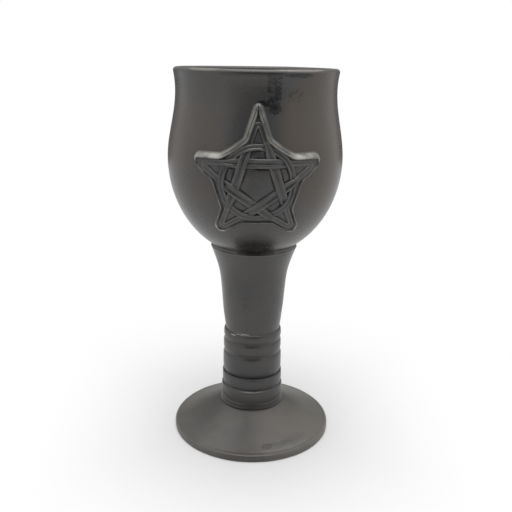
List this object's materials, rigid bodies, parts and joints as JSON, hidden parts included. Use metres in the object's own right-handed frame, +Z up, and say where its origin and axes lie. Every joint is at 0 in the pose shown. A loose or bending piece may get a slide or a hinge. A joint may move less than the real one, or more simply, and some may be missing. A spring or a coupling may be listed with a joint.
{
  "type": "ceramic chalice",
  "caption": "Dark satin-glazed ceramic chalice: tulip bowl with an interlaced star in relief, banded hollow stem and spread foot, for holding drink or standing on a table.",
  "frame": {"origin": "on the turning axis, at the plane that the foot's resting ring stands on", "axes": "+Z up the turning axis from foot to lip; the star faces -Y"},
  "size_m": [0.0812, 0.0832, 0.178],
  "materials": {
    "bowl_glaze": "dark graphite satin glaze",
    "stem_glaze": "dark graphite satin glaze",
    "foot_glaze": "dark graphite satin glaze",
    "star_glaze": "dark graphite satin glaze, thin on the ridges",
    "joint_slip": "matt fired slip"
  },
  "bodies": {
    "root": {"bowl": "bowl_glaze", "stem": "stem_glaze", "foot": "foot_glaze", "bowl_slip": "joint_slip", "foot_slip": "joint_slip", "star_border": "star_glaze", "star_ring": "star_glaze", "star_strand": "star_glaze"}
  },
  "joints": []
}
